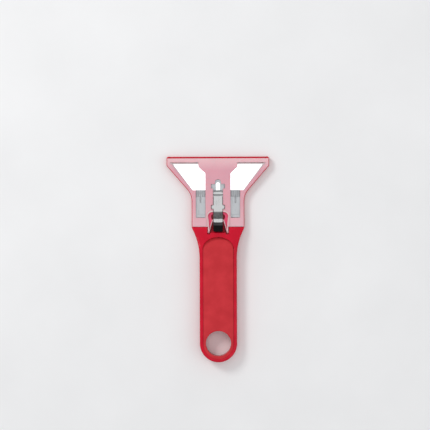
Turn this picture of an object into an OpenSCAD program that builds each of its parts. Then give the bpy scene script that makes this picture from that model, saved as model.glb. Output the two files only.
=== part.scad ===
// Retractable blade scraper for ceramic hobs.
// It lies on its back: +Z is the front face, +Y points to the blade mouth.
// The blade is drawn in and the button is held at its sliding height.

/* [Overall] */
// Length from the tail to the mouth, blade drawn in
overall_l = 134.5; // [128:0.5:160]
// Thickness of the handle at its crown
handle_t = 11; // [9.5:0.1:14]

/* [Head] */
// Width across the mouth
head_w = 67.2; // [60:0.2:74]
// Straight side behind the mouth
head_side_l = 6; // [5:0.1:8]
// Length of the slanted sides along Y
taper_l = 18.9; // [18:0.1:21]
// Width of the neck, where the carriage runs
neck_w = 34.5; // [31:0.1:38]
// Length of the neck along Y
neck_l = 21.75; // [21.5:0.05:25]
// Radius of the front corners
head_corner_r = 1.2; // [0.5:0.1:2]
// Radius between the straight and the slanted side
taper_r = 1.5; // [0.5:0.1:3]
// Radius where the slanted side meets the neck
neck_fillet_r = 11.5; // [6:0.5:14]
// Thickness of the floor under the carriage
floor_t = 2; // [1.6:0.1:3]
// Thickness of the side rims that carry the cover's edge
rim_t = 1; // [0.8:0.1:1.2]
// Width of the ledge inside the rims that carries the cover
ledge_w = 0.8; // [0.6:0.1:1]
// How far the floor reaches past the cover at the mouth
lip_l = 1.2; // [0.8:0.1:2]

/* [Handle] */
// Width of the handle
handle_w = 24.4; // [23:0.1:26]
// Radius of the shoulders behind the neck
shoulder_r = 5; // [2:0.5:5]
// Length of the straight flare line along Y
flare_l = 10; // [9.5:0.1:14]
// Straight rest of the flare line between its two roundings
flare_straight_l = 0.25; // [0.1:0.05:3]
// Radius of the crown across the handle
crown_r = 45; // [35:1:80]
// Length over which the top rises from the cover to the handle
rise_l = 19; // [17:0.5:26]
// Radius at both ends of that rise
rise_r = 24; // [10:1:28]
// Diameter of the hanging hole
hole_d = 16.5; // [12:0.1:18]

/* [Grip pads] */
// Width of each pad
pad_w = 20; // [19:0.1:20.6]
// Thickness of each pad
pad_t = 1.5; // [1:0.1:2.2]
// How far a pad lies below the surface round it
pad_sink = 0.3; // [0.1:0.05:0.6]
// Height of the elliptic end towards the head
pad_arch = 7.9; // [4:0.1:10]
// Distance from the neck's end to the tip of that arch
pad_start = 6.3; // [6.2:0.1:9]
// Gap round a pad
pad_gap = 0.05; // [0.02:0.01:0.15]
// Diameter of the studs under a pad
stud_d = 3; // [2:0.1:4]
// Length of the studs
stud_l = 2.5; // [1.5:0.1:3]

/* [Blade] */
// Distance from the corners of the cutting edge to the sides of the head
blade_side_gap = 2.85; // [2.5:0.05:4]
// Distance from the corners of the back edge to the sides of the neck
blade_back_gap = 0.5; // [0.3:0.05:1]
// Distance from the back edge to the cutting edge
blade_h = 18.8; // [18:0.1:19]
// Thickness of the blade
blade_t = 0.6; // [0.4:0.05:0.9]
// Length of the ground bevel
bevel_l = 1.2; // [0.8:0.1:2]
// Flat left at the cutting edge
edge_t = 0.1; // [0.05:0.01:0.15]
// How far the cutting edge lies inside the mouth
blade_inset = 3.25; // [3:0.05:5]
// Width of a notch in the back edge
notch_w = 3; // [2.5:0.1:3.5]
// Depth of a notch
notch_d = 2.6; // [2:0.1:3]
// Distance of a notch from the middle
notch_x = 4.5; // [4.2:0.1:6]

/* [Carriage] */
// How far the blade slides out
travel = 13.7; // [10:0.1:13.7]
// Sheet thickness of the carriage
plate_t = 0.8; // [0.6:0.05:1.2]
// How far the carriage reaches under the blade
plate_reach = 4.8; // [3.5:0.1:5.5]
// Length of the legs behind the blade
leg_l = 18; // [17.5:0.1:18.2]
// Width of the gap between the legs
leg_gap_w = 14; // [13.6:0.1:14.4]
// Bridge between the blade and the leg gap
bridge_l = 4.2; // [4.1:0.1:5]
// Length of the folded hem at the rear of each leg
hem_l = 1.9; // [1:0.1:2.5]
// Height of the hem above the sheet
hem_h = 0.5; // [0.3:0.05:0.6]
// Height of the pressed pad and ribs on the legs
emboss_h = 0.2; // [0.1:0.05:0.3]
// Width of a pressed rib
rib_w = 0.6; // [0.4:0.1:1]
// Length of a pressed rib
rib_l = 4; // [2:0.5:7]
// Distance of the ribs from the middle
rib_x = 11.5; // [10:0.1:12.5]

/* [Leaf spring] */
// Thickness of the spring
spring_t = 0.5; // [0.3:0.05:0.6]
// Half width of the clip over the blade
clip_half_w = 4.7; // [4.4:0.1:5.5]
// How far the clip reaches over the blade
clip_reach = 7.2; // [6.5:0.1:7.4]
// Half width of the clip where it is riveted
foot_half_w = 6.2; // [6:0.1:7.5]
// Half width of the round ended hole over the blade
bullet_half_w = 1.6; // [1.2:0.1:2.2]
// Width of the bar in front of that hole
bullet_bar = 1.8; // [1.4:0.1:2.4]
// Diameter of a rivet shank
rivet_d = 1.4; // [1.2:0.1:1.6]
// Diameter of a rivet head
rivet_head_d = 2.1; // [1.8:0.1:2.3]
// Height of a rivet head
rivet_head_h = 0.35; // [0.2:0.05:0.5]
// Distance of the rivets from the middle
rivet_x = 4.9; // [4.8:0.1:5]
// Width of the sprung strip
strip_w = 6; // [5:0.1:6]
// Half width across a lock ear
ear_half_w = 4.35; // [4:0.05:4.4]
// Length of a lock ear
ear_l = 2.5; // [2.2:0.1:2.6]
// Distance from the strip's root to the middle of the ears
ear_dist = 6.9; // [6.8:0.1:7.4]
// Distance from the strip's root to the foot of its bend
bend_dist = 10.4; // [10:0.1:11]
// Length of the bend along Y
bend_l = 4.4; // [4:0.1:4.8]
// Height that the bend gains
bend_h = 2.15; // [1.6:0.05:2.6]
// Radius of the bend
bend_r = 1.2; // [0.8:0.1:1.4]
// Length of the tab inside the button
tab_l = 5.4; // [4:0.1:5.6]
// Width of that tab
tab_w = 4.2; // [3:0.1:4.6]
// Horizontal length of each small step in the clip
step_l = 0.6; // [0.5:0.05:0.7]

/* [Thumb button] */
// Width of the button
button_w = 6.2; // [5.2:0.1:6.2]
// Length of the button
button_l = 6.1; // [5.8:0.1:6.4]
// Height of the button
button_h = 3.8; // [3.2:0.1:4.4]
// Distance from the top of the spring's bend to the button
button_set = 2.1; // [1.8:0.1:2.4]
// Radius of the button's upright edges
button_r = 0.5; // [0.2:0.1:1]
// Distance from the button's underside to the spring tab
button_sole = 0.85; // [0.6:0.05:1]
// Length of the slope at the button's front
button_slope_l = 1.9; // [1:0.1:2.2]
// Drop of that slope
button_slope_h = 1.7; // [0.8:0.1:1.8]
// Number of grooves across the button
groove_n = 3; // [2:1:4]
// Depth of a groove
groove_h = 0.35; // [0.2:0.05:0.5]
// Width of a groove
groove_w = 0.5; // [0.3:0.05:0.6]

/* [Cover] */
// Thickness of the cover
cover_t = 1.6; // [1.4:0.1:2.2]
// Thickness of its edge, which lies on the rims
flange_t = 1; // [0.9:0.05:1.1]
// How much of the rims shows round that edge
rim_show = 0.2; // [0.1:0.05:0.4]
// Depth of the solid band along the mouth
band_l = 2.65; // [2.4:0.05:3]
// Depth of the solid band at the rear
rear_band_l = 5.9; // [5:0.1:6]
// Half width of the column between the windows
column_half_w = 8.2; // [7.6:0.1:8.6]
// Extra half width of the column at the mouth
gusset_w = 4.6; // [3:0.1:5]
// Length of the column's straight flare at the mouth
gusset_l = 2.8; // [2:0.1:3.2]
// Length of the slanted part of that flare
gusset_slant_l = 4.2; // [3:0.1:5]
// Distance from a window's front corner to the side of the head
window_side_w = 2.4; // [2.3:0.1:2.8]
// Distance from the rear end of a window's slanted edge to the side line of the neck
window_back_w = 0.25; // [0.15:0.05:0.45]
// Width of the cover's rail beside the legs
rail_w = 1.6; // [1.4:0.1:1.8]
// Extra width of the lock slot over the button
slot_gap = 0.2; // [0.15:0.05:0.3]
// Gap between an ear and the sides of its notch
notch_side_gap = 0.25; // [0.2:0.05:0.4]
// Length of the front lock notch
front_notch_l = 2.9; // [2.8:0.1:3.2]
// Length of the rear lock notch
rear_notch_l = 2.9; // [2.8:0.1:3.2]
// Half width of the round end of the slot
slot_tip_r = 2; // [1.6:0.1:2.6]
// Length of the slot in front of the front notch
slot_tip_l = 3.05; // [2.8:0.05:3.5]
// Depth of the relief under the cover, over the strip of the slid out spring
relief_h = 0.7; // [0.65:0.05:0.9]
// Half width of the thumb opening
thumb_half_w = 6.7; // [6.6:0.05:6.9]
// Length of the thumb opening from the cover's rear edge
thumb_l = 9.7; // [9.2:0.1:10]
// Radius of its corners
thumb_r = 3; // [1.5:0.1:3.2]
// Width of the bead round the thumb opening
bead_w = 0.9; // [0.8:0.1:1.3]
// Height of the bead
bead_h = 0.5; // [0.3:0.05:0.6]
// Width of a hinge leg at its narrow end, over the pin
leg_w = 1; // [0.8:0.05:1.2]
// Distance from the cover's rear edge to the hinge axis
hinge_dist = 3.3; // [3.2:0.05:3.5]
// Height of the hinge axis above the cover's underside
hinge_rise = 0.6; // [0.5:0.05:0.8]
// How far a hinge leg runs along the thumb opening, where it is as wide as the slot leaves room for
leg_root_l = 4.6; // [3:0.1:5.5]
// Diameter of the round end of a leg
hinge_eye_d = 2; // [1.9:0.05:2]
// Diameter of the hinge pins on the legs
hinge_pin_d = 1.4; // [1.2:0.1:1.6]
// Length of a hinge pin
hinge_pin_l = 1.5; // [1.2:0.1:2]

/* [Thumb recess] */
// Gap between a hinge leg and the recess wall
leg_side_gap = 0.3; // [0.2:0.05:0.4]
// Half width of the scoop behind the button
scoop_half_w = 5.4; // [5.2:0.05:5.4]
// Length of the slope behind the button, from the floor to the crown's height
scoop_slope_l = 4; // [3:0.1:4.4]
// Half width of the ramp at its wide end
ramp_half_w = 5.1; // [4.6:0.05:5.1]
// Half width of the ramp at its narrow end
ramp_tip_half_w = 3; // [2.4:0.1:3.2]
// Length of the ramp
ramp_l = 5.5; // [4:0.1:5.8]
// Height of the ramp at its wide end
ramp_h = 1.5; // [0.8:0.1:1.6]
// Depth of the well under the spring's bend
well_h = 1.2; // [0.6:0.1:1.2]

/* [Clearances] */
// Gap under the carriage
run_gap = 0.1; // [0.05:0.01:0.15]
// Gap beside the carriage
slide_gap = 0.15; // [0.1:0.01:0.25]
// Gap between the spring and the cover
cover_gap = 0.2; // [0.15:0.01:0.3]
// Gap under the cover where it rests
seat_gap = 0.05; // [0.03:0.01:0.1]
// Gap between the cover and the rims
rim_gap = 0.15; // [0.1:0.01:0.25]
// Gap behind the cover
rear_gap = 0.2; // [0.2:0.01:0.3]
// Radial gap of a hinge pin
pin_gap = 0.05; // [0.02:0.01:0.09]
// Gap between pieces that are pressed together
fit_gap = 0.02; // [0.01:0.01:0.04]
// Gap between the clip and the sprung strip
root_gap = 0.1; // [0.05:0.01:0.2]

/* [Hidden] */
$fn = 48;
// Degrees of arc for each straight step of an outline
arc_step = 6;
// Reach of cutting shapes past the faces they cut
past = 1;
far = 200;

// Places along Y, from the mouth to the tail
y_mouth = overall_l / 2;
y_tail = -overall_l / 2;
y_taper = y_mouth - head_side_l;
y_neck = y_taper - taper_l;
y_shoulder = y_neck - neck_l;
y_flare = y_shoulder - flare_l;
y_hole = y_tail + handle_w / 2;
y_edge = y_mouth - blade_inset;
y_back = y_edge - blade_h;
y_plate_rear = y_back - leg_l;
y_bridge = y_back - bridge_l;
y_root = y_bridge + root_gap;
y_rivet = (y_back - slide_gap - step_l + y_root + 2 * step_l) / 2;
y_lever = y_root - root_gap;
y_ear = y_lever - ear_dist;
y_bend = y_lever - bend_dist;
y_button = y_bend - bend_l - button_set;
y_button_rear = y_button - button_l;
y_tab = y_button - tab_l;
y_cover_front = y_mouth - lip_l;
y_window_front = y_cover_front - band_l;
y_stop = y_plate_rear - run_gap;
y_cover_rear = y_stop - rear_band_l;
y_hinge = y_cover_rear - hinge_dist;
y_thumb = y_cover_rear + thumb_l;
y_pad = y_shoulder - pad_start;

// Heights
z_floor = floor_t;
z_plate = z_floor + run_gap;
z_blade = z_plate + plate_t;
z_clip = z_blade + blade_t;
z_spring_top = z_clip + spring_t;
z_cover = z_spring_top + cover_gap;
z_lid = z_cover + cover_t;
z_rim = z_lid - flange_t - seat_gap;
z_tab = z_clip + bend_h;
z_button = z_tab - button_sole;
z_hinge = z_cover + hinge_rise;

// Widths
blade_w = head_w - 2 * blade_side_gap;
blade_back_w = neck_w - 2 * blade_back_gap;
plate_half_w = neck_w / 2 - rim_t - ledge_w - slide_gap;
slot_half_w = button_w / 2 + slot_gap;
notch_half_w = ear_half_w + notch_side_gap;
recess_half_w = thumb_half_w + leg_side_gap;

// Flare between the neck and the handle
flare = [(neck_w - handle_w) / 2, flare_l];
flare_turn = atan2(flare.x, flare.y);
flare_r = (norm(flare) - flare_straight_l) / tan(flare_turn / 2) - shoulder_r;

// Outline of the whole scraper: corner points with radii, counterclockwise; radius 0 is a sharp corner
function right_side(ahead) = [
    [handle_w / 2, y_tail, handle_w / 2 - fit_gap],
    [handle_w / 2, y_flare, flare_r],
    [neck_w / 2, y_shoulder, shoulder_r],
    [neck_w / 2, y_neck, neck_fillet_r],
    [head_w / 2, y_taper, taper_r],
    [head_w / 2, y_mouth + ahead, head_corner_r]];
function mirrored(pts) = concat(pts, [for (i = [len(pts) - 1 : -1 : 0]) [-pts[i].x, pts[i].y, pts[i].z]]);
function outline(ahead = 0) = mirrored(right_side(ahead));

// Unit vector from a to b, in the plane
function heading(a, b) = let (d = [b.x - a.x, b.y - a.y]) d / norm(d);
function left_of(e) = [-e.y, e.x];
function turns_left(e1, e2) = e1.x * e2.y - e1.y * e2.x > 0;

// Moves one corner inward by d and corrects its radius
function inset_corner(a, b, c, d) =
    let (e1 = heading(a, b), e2 = heading(b, c), n1 = left_of(e1), n2 = left_of(e2))
    let (m = d * (n1 + n2) / (1 + n1 * n2))
    [b.x + m.x, b.y + m.y, max(b.z + (turns_left(e1, e2) ? -d : d), 0)];
function inset(pts, d) =
    let (n = len(pts))
    [for (i = [0 : n - 1]) inset_corner(pts[(i + n - 1) % n], pts[i], pts[(i + 1) % n], d)];

// Points of the arc that rounds one corner
function corner_arc(a, b, c) =
    let (u = heading(b, a), v = heading(b, c), half = acos(u * v) / 2)
    let (mid = (u + v) / norm(u + v), centre = [b.x, b.y] + mid * b.z / sin(half))
    let (first = [b.x, b.y] + u * b.z / tan(half) - centre)
    let (turn = (180 - 2 * half) * (turns_left(-u, v) ? 1 : -1), steps = max(2, ceil(abs(turn) / arc_step)))
    [for (k = [0 : steps])
        let (g = turn * k / steps)
        centre + [first.x * cos(g) - first.y * sin(g), first.x * sin(g) + first.y * cos(g)]];
function rounded(pts) =
    let (n = len(pts))
    [for (i = [0 : n - 1])
        each pts[i].z == 0
            ? [[pts[i].x, pts[i].y]]
            : corner_arc(pts[(i + n - 1) % n], pts[i], pts[(i + 1) % n])];

module round_plan(pts) {
    polygon(rounded(pts));
}

// Box given by its low and high corner
module block(low, high) {
    translate(low)
        cube(high - low);
}

module both_sides() {
    children();
    mirror([1, 0, 0])
        children();
}

// Prism of a profile drawn in Y and Z, centred on X
module across(width) {
    rotate([90, 0, 90])
        translate([0, 0, -width / 2])
            linear_extrude(width)
                children();
}

// Everything under the top face, lowered by drop
module top_skin(drop) {
    y_rise = y_cover_rear - rear_gap;
    intersection() {
        across(far)
            round_plan([
                [y_tail - far, -past, 0],
                [y_mouth + far, -past, 0],
                [y_mouth + far, z_lid - drop, 0],
                [y_rise, z_lid - drop, rise_r / 4],
                [y_rise - rise_l, handle_t - drop, rise_r],
                [y_tail - far, handle_t - drop, 0]]);
        // the crown ends at the shoulders, where the lower head begins
        union() {
            translate([0, y_shoulder, handle_t - crown_r])
                rotate([90, 0, 0])
                    cylinder(r = crown_r - drop, h = far, $fn = 96);
            block([-far, y_shoulder, -past], [far, far, far]);
        }
    }
}

// Plan of a grip pad, shrunk all round by d
module pad_plan(d = 0) {
    a = pad_w / 2 - d;
    b = pad_arch - d;
    y_arch = y_pad - pad_arch;
    polygon(concat(
        [for (g = [0 : arc_step : 180]) [a * cos(g), y_arch + b * sin(g)]],
        [for (g = [180 : arc_step : 360]) [a * cos(g), y_hole + a * sin(g)]]));
}

// Holes or studs under a pad, spaced along the handle
module pad_studs(d, low, high) {
    y_last = y_hole + hole_d / 2 + 2 * stud_d;
    y_first = y_pad - pad_arch;
    for (i = [0 : 2])
        translate([0, y_first + (y_last - y_first) * i / 2, low])
            cylinder(d = d, h = high - low);
}

module hang_hole() {
    translate([0, y_hole, -past])
        cylinder(d = hole_d, h = handle_t + 2 * past, $fn = 96);
}

// Region of the head plan in front of y_low, inset by d
module head_region(d, y_low, ahead = 10) {
    intersection() {
        round_plan(inset(outline(ahead), d));
        translate([-far / 2, y_low])
            square([far, far]);
    }
}

// Wedge on the floor under the button
module ramp() {
    y_tip = y_button_rear + ramp_l;
    intersection() {
        linear_extrude(handle_t)
            polygon([
                [-ramp_tip_half_w, y_tip],
                [ramp_tip_half_w, y_tip],
                [ramp_half_w, y_button_rear],
                [-ramp_half_w, y_button_rear]]);
        across(far)
            polygon([[y_tip, z_floor], [y_button_rear, z_floor + ramp_h], [y_button_rear, 0], [y_tip, 0]]);
    }
}

module thumb_recess() {
    top = handle_t + past;
    reach = y_stop + past;
    difference() {
        across(2 * scoop_half_w)
            polygon([
                [reach, z_floor],
                [y_button_rear, z_floor],
                [y_button_rear - scoop_slope_l, handle_t],
                [y_button_rear - scoop_slope_l, top],
                [reach, top]]);
        ramp();
    }
    // grooves for the hinge legs, with the holes for their pins
    both_sides() {
        block([scoop_half_w - run_gap, y_hinge - hinge_eye_d, z_floor], [recess_half_w, reach, top]);
        translate([recess_half_w - past, y_hinge, z_hinge])
            rotate([0, 90, 0])
                cylinder(
                    d = hinge_pin_d + 2 * pin_gap,
                    h = past + hinge_pin_l - leg_side_gap + pin_gap);
    }
    // well under the bend of the spring
    block([-scoop_half_w, y_bend - bend_l, z_floor - well_h], [scoop_half_w, reach, z_floor + past]);
}

module handle_body() {
    color([0.78, 0.08, 0.14])
        difference() {
            intersection() {
                linear_extrude(handle_t + past)
                    round_plan(outline());
                top_skin(0);
            }
            // room for the carriage and the blade
            translate([0, 0, z_floor])
                linear_extrude(handle_t)
                    head_region(rim_t + ledge_w, y_stop);
            // seat of the cover
            translate([0, 0, z_cover - seat_gap])
                linear_extrude(handle_t)
                    head_region(rim_t, y_cover_rear - rear_gap);
            block([-far, y_cover_rear - rear_gap, z_rim], [far, far, far]);
            thumb_recess();
            // beds of the two grip pads
            difference() {
                linear_extrude(handle_t + past)
                    pad_plan(-pad_gap);
                top_skin(pad_sink + pad_t);
            }
            translate([0, 0, -past])
                linear_extrude(past + pad_sink + pad_t)
                    pad_plan(-pad_gap);
            pad_studs(stud_d + 2 * fit_gap, -past, pad_sink + pad_t + stud_l + fit_gap);
            pad_studs(stud_d + 2 * fit_gap, handle_t - pad_sink - pad_t - stud_l - fit_gap, handle_t + past);
            hang_hole();
        }
}

module grip_pad_front() {
    color([0.76, 0.2, 0.24])
        difference() {
            union() {
                difference() {
                    intersection() {
                        linear_extrude(handle_t)
                            pad_plan();
                        top_skin(pad_sink);
                    }
                    top_skin(pad_sink + pad_t - fit_gap);
                }
                intersection() {
                    pad_studs(stud_d, handle_t - pad_sink - pad_t - stud_l, handle_t);
                    top_skin(pad_sink + pad_t / 2);
                }
            }
            hang_hole();
        }
}

module grip_pad_back() {
    color([0.76, 0.2, 0.24])
        difference() {
            union() {
                translate([0, 0, pad_sink])
                    linear_extrude(pad_t)
                        pad_plan();
                pad_studs(stud_d, pad_sink + pad_t / 2, pad_sink + pad_t + stud_l);
            }
            hang_hole();
        }
}

// Plan of one window on the right
module window_plan() {
    x_leg = neck_w / 2 - rim_t - rim_gap - rail_w;
    x_gusset = column_half_w + gusset_w;
    y_gusset = y_window_front - gusset_l;
    round_plan([
        [x_leg, y_stop, button_r],
        [x_leg, y_back, 0],
        [neck_w / 2 - window_back_w, y_back, 0],
        [head_w / 2 - window_side_w, y_window_front, 0],
        [x_gusset, y_window_front, 0],
        [x_gusset, y_gusset, taper_r],
        [column_half_w, y_gusset - gusset_slant_l, taper_r],
        [column_half_w, y_stop, button_r]]);
}

// Slot for the button with its lock notches and its round end
module lock_slot_plan() {
    y_front_ear = y_ear + travel;
    y_slot_end = y_front_ear + front_notch_l / 2;
    translate([-slot_half_w, y_cover_rear])
        square([2 * slot_half_w, y_slot_end - y_cover_rear]);
    translate([-notch_half_w, y_front_ear - front_notch_l / 2])
        square([2 * notch_half_w, front_notch_l]);
    translate([-notch_half_w, y_ear - rear_notch_l / 2])
        square([2 * notch_half_w, rear_notch_l]);
    translate([-slot_tip_r, y_front_ear])
        square([2 * slot_tip_r, front_notch_l / 2 + slot_tip_l - slot_tip_r]);
    translate([0, y_slot_end + slot_tip_l - slot_tip_r])
        circle(r = slot_tip_r);
}

// Corners of the thumb opening, counterclockwise
function thumb_opening() = [
    [-thumb_half_w, y_hinge, 0],
    [thumb_half_w, y_hinge, 0],
    [thumb_half_w, y_thumb, thumb_r],
    [-thumb_half_w, y_thumb, thumb_r]];

module cover_region() {
    translate([-far / 2, y_cover_rear])
        square([far, y_cover_front - y_cover_rear]);
}

// Layer of the cover under its top face, inset by d from the outline
module cover_layer(d, thick) {
    translate([0, 0, z_lid - thick])
        linear_extrude(thick)
            difference() {
                intersection() {
                    round_plan(inset(outline(), d));
                    cover_region();
                }
                window_plan();
                mirror([1, 0])
                    window_plan();
                lock_slot_plan();
                round_plan(thumb_opening());
            }
}

// Room in the cover's underside for the strip, where it rises in front of the slot
module strip_relief() {
    half_w = strip_w / 2 + cover_gap;
    block([-half_w, y_ear + travel, z_cover - past], [half_w, y_lever + travel, z_cover + relief_h]);
}

module hinge_leg() {
    inner = thumb_half_w - leg_w;
    outer = thumb_half_w + leg_w / 2;
    y_leg = y_cover_rear + leg_root_l;
    translate([0, 0, z_cover])
        linear_extrude(cover_t)
            polygon([
                [inner, y_hinge],
                [thumb_half_w, y_hinge],
                [thumb_half_w, y_cover_rear],
                [outer, y_cover_rear],
                [outer, y_leg],
                [slot_half_w, y_leg]]);
    translate([inner, y_hinge, z_hinge])
        rotate([0, 90, 0]) {
            cylinder(d = hinge_eye_d, h = leg_w);
            cylinder(d = hinge_pin_d, h = leg_w + hinge_pin_l);
        }
}

module head_cover() {
    color([0.93, 0.66, 0.71, 0.8])
        union() {
            difference() {
                union() {
                    cover_layer(rim_t + rim_gap, cover_t);
                    cover_layer(rim_show, flange_t);
                }
                strip_relief();
            }
            // bead round the thumb opening
            translate([0, 0, z_cover])
                linear_extrude(cover_t + bead_h)
                    intersection() {
                        difference() {
                            round_plan(inset(thumb_opening(), -bead_w));
                            round_plan(thumb_opening());
                            lock_slot_plan();
                        }
                        cover_region();
                    }
            both_sides()
                hinge_leg();
        }
}

module blade() {
    color([0.93, 0.94, 0.95])
        difference() {
            intersection() {
                linear_extrude(far)
                    polygon([
                        [-blade_back_w / 2, y_back],
                        [blade_back_w / 2, y_back],
                        [blade_w / 2, y_edge],
                        [-blade_w / 2, y_edge]]);
                across(far)
                    polygon([
                        [y_back, z_blade],
                        [y_edge - bevel_l, z_blade],
                        [y_edge, z_blade + (blade_t - edge_t) / 2],
                        [y_edge, z_blade + (blade_t + edge_t) / 2],
                        [y_edge - bevel_l, z_clip],
                        [y_back, z_clip]]);
            }
            both_sides()
                block(
                    [notch_x - notch_w / 2, y_back - past, 0],
                    [notch_x + notch_w / 2, y_back + notch_d, far]);
        }
}

module rivet_holes() {
    both_sides()
        translate([rivet_x, y_rivet, 0])
            cylinder(d = rivet_d + 2 * fit_gap, h = far);
}

module carrier_plate() {
    leg_x = leg_gap_w / 2;
    color([0.66, 0.67, 0.68])
        difference() {
            union() {
                block([-plate_half_w, y_plate_rear, z_plate], [plate_half_w, y_back + plate_reach, z_blade]);
                both_sides() {
                    // lug in the blade's notch
                    block(
                        [notch_x - notch_w / 2 + slide_gap, y_back, z_blade - plate_t / 2],
                        [notch_x + notch_w / 2 - slide_gap, y_back + notch_d - slide_gap, z_clip]);
                    // folded hem, pressed pad and pressed rib
                    block(
                        [leg_x, y_plate_rear, z_plate],
                        [plate_half_w, y_plate_rear + hem_l, z_blade + hem_h]);
                    block(
                        [foot_half_w + past, y_bridge, z_plate],
                        [plate_half_w, y_back - slide_gap, z_blade + emboss_h]);
                    block(
                        [rib_x - rib_w / 2, y_bridge - rib_l, z_plate],
                        [rib_x + rib_w / 2, y_back - slide_gap, z_blade + emboss_h]);
                }
            }
            block([-leg_x, y_plate_rear - past, 0], [leg_x, y_bridge, far]);
            rivet_holes();
        }
}

module blade_clip() {
    low_line = [
        [y_back + clip_reach, z_clip],
        [y_back - slide_gap, z_clip],
        [y_back - slide_gap - step_l, z_blade],
        [y_root + 2 * step_l, z_blade],
        [y_root + step_l, z_clip],
        [y_root, z_clip]];
    high_line = [for (i = [len(low_line) - 1 : -1 : 0]) low_line[i] + [0, spring_t]];
    y_tip = y_back + clip_reach - bullet_bar - bullet_half_w;
    color([0.72, 0.73, 0.74])
        difference() {
            union() {
                across(2 * clip_half_w)
                    polygon(concat(low_line, high_line));
                intersection() {
                    across(2 * foot_half_w)
                        polygon(concat(low_line, high_line));
                    block([-far, y_root - past, 0], [far, y_back - slide_gap, far]);
                }
            }
            block([-bullet_half_w, y_back - slide_gap, 0], [bullet_half_w, y_tip, far]);
            translate([0, y_tip, 0])
                cylinder(r = bullet_half_w, h = far);
            rivet_holes();
        }
}

module clip_rivets() {
    z_foot = z_blade + spring_t;
    color([0.6, 0.6, 0.61])
        both_sides()
            translate([rivet_x, y_rivet, 0]) {
                translate([0, 0, z_plate])
                    cylinder(d = rivet_d, h = z_foot - z_plate + rivet_head_h / 2);
                translate([0, 0, z_foot])
                    cylinder(d = rivet_head_d, h = rivet_head_h);
            }
}

module lock_lever() {
    y_top = y_bend - bend_l;
    module strip_profile() {
        round_plan([
            [y_lever, z_clip, 0],
            [y_lever, z_spring_top, 0],
            [y_bend, z_spring_top, bend_r],
            [y_top, z_tab + spring_t, bend_r + spring_t],
            [y_tab, z_tab + spring_t, 0],
            [y_tab, z_tab, 0],
            [y_top, z_tab, bend_r],
            [y_bend, z_clip, bend_r + spring_t]]);
    }
    color([0.74, 0.75, 0.76])
        union() {
            across(tab_w)
                strip_profile();
            intersection() {
                across(strip_w)
                    strip_profile();
                block([-far, y_button + fit_gap, 0], [far, far, far]);
            }
            block([-ear_half_w, y_ear - ear_l / 2, z_clip], [ear_half_w, y_ear + ear_l / 2, z_spring_top]);
        }
}

module thumb_button() {
    z_top = z_button + button_h;
    half_w = button_w / 2;
    y_flat = y_button - button_slope_l;
    pitch = (y_flat - y_button_rear) / (groove_n + 1);
    color([0.09, 0.09, 0.1])
        difference() {
            intersection() {
                linear_extrude(far)
                    round_plan([
                        [-half_w, y_button_rear, button_r],
                        [half_w, y_button_rear, button_r],
                        [half_w, y_button, button_r],
                        [-half_w, y_button, button_r]]);
                across(far)
                    round_plan([
                        [y_button_rear, z_button, 0],
                        [y_button, z_button, 0],
                        [y_button, z_top - button_slope_h, 0],
                        [y_flat, z_top, button_r],
                        [y_button_rear, z_top, button_r]]);
            }
            block(
                [-tab_w / 2 - fit_gap, y_tab - fit_gap, z_tab - fit_gap],
                [tab_w / 2 + fit_gap, y_button + past, z_tab + spring_t + fit_gap]);
            for (i = [1 : groove_n])
                block(
                    [-far, y_button_rear + i * pitch - groove_w / 2, z_top - groove_h],
                    [far, y_button_rear + i * pitch + groove_w / 2, z_top + past]);
        }
}

handle_body();
grip_pad_front();
grip_pad_back();
head_cover();
blade();
carrier_plate();
blade_clip();
clip_rivets();
lock_lever();
thumb_button();
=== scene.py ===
"""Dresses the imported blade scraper: rounded plastic, steel, a pink cover and soft studio light."""

import math

import bmesh
import bpy
import numpy as np
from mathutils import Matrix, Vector
from mathutils.geometry import delaunay_2d_cdt


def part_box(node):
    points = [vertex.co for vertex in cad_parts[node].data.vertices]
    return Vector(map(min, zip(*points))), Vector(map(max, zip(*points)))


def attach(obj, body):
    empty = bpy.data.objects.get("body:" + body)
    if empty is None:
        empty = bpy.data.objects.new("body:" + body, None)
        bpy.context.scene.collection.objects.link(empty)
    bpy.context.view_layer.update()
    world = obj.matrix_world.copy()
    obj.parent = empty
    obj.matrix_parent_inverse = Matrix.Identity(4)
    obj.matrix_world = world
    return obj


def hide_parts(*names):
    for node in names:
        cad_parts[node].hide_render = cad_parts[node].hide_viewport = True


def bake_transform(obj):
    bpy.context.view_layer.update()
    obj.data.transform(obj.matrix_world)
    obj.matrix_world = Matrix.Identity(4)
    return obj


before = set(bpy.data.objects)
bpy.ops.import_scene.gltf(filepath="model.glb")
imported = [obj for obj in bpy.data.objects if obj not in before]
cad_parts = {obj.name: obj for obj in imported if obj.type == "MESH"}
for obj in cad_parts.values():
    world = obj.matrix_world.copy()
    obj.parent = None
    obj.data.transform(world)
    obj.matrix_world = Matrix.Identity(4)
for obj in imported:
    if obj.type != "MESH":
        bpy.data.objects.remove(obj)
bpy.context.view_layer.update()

# The model is in metres; sizes below are in millimetres, and loops of points too
MM = 0.001


def box_mm(node):
    """The low and the high corner of a CAD node's box."""
    low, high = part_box(node)
    return low / MM, high / MM


BODY_LOW, BODY_HIGH = box_mm("handle_body")
BLADE_LOW, BLADE_HIGH = box_mm("blade")
PLATE_LOW, PLATE_HIGH = box_mm("carrier_plate")
LEVER_LOW, LEVER_HIGH = box_mm("lock_lever")
BUTTON_LOW, BUTTON_HIGH = box_mm("thumb_button")
COVER_HIGH = box_mm("head_cover")[1]
CLIP_HIGH = box_mm("blade_clip")[1]
PAD_HIGH = box_mm("grip_pad_front")[1]

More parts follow.
